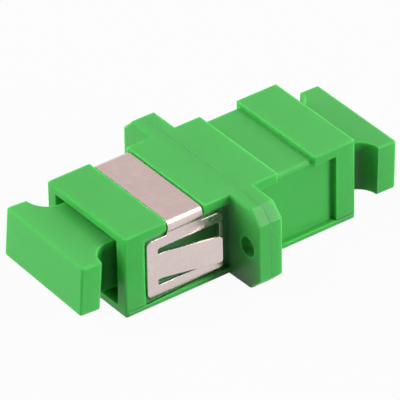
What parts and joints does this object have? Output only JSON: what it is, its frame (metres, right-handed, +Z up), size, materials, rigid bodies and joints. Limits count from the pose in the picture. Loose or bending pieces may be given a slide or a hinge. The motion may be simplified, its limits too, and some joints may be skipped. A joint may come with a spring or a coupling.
{
  "type": "sc fibre adapter",
  "caption": "Flanged simplex adapter that lines up two push-pull fibre connectors end to end, with a sprung panel clip, screw holes in the flange and a pull-out dust cap in each socket.",
  "frame": {"origin": "centre of the housing's underside, below the middle of the fibre axis", "axes": "+X along the fibre axis from the clipped half to the plain half, +Y across the flange, +Z up from the keyway side"},
  "size_m": [0.0385, 0.0222, 0.0093],
  "materials": {
    "green_housing": "satin moulded",
    "cap_green": "satin moulded",
    "insert_plastic": "moulded",
    "clip_steel": "satin rolled",
    "ceramic": "polished"
  },
  "bodies": {
    "adapter": {"front_housing": "green_housing", "rear_housing": "green_housing", "front_latch_insert": "insert_plastic", "rear_latch_insert": "insert_plastic", "alignment_sleeve": "ceramic", "panel_clip": "clip_steel"},
    "front_cap": {"front_dust_cap": "cap_green"},
    "rear_cap": {"rear_dust_cap": "cap_green"}
  },
  "joints": [
    {"name": "front_cap_pull", "type": "slide", "parent": "adapter", "child": "front_cap", "axis": [-1, 0, 0], "range_m": [0, 0.015]},
    {"name": "rear_cap_pull", "type": "slide", "parent": "adapter", "child": "rear_cap", "axis": [1, 0, 0], "range_m": [0, 0.015]}
  ]
}
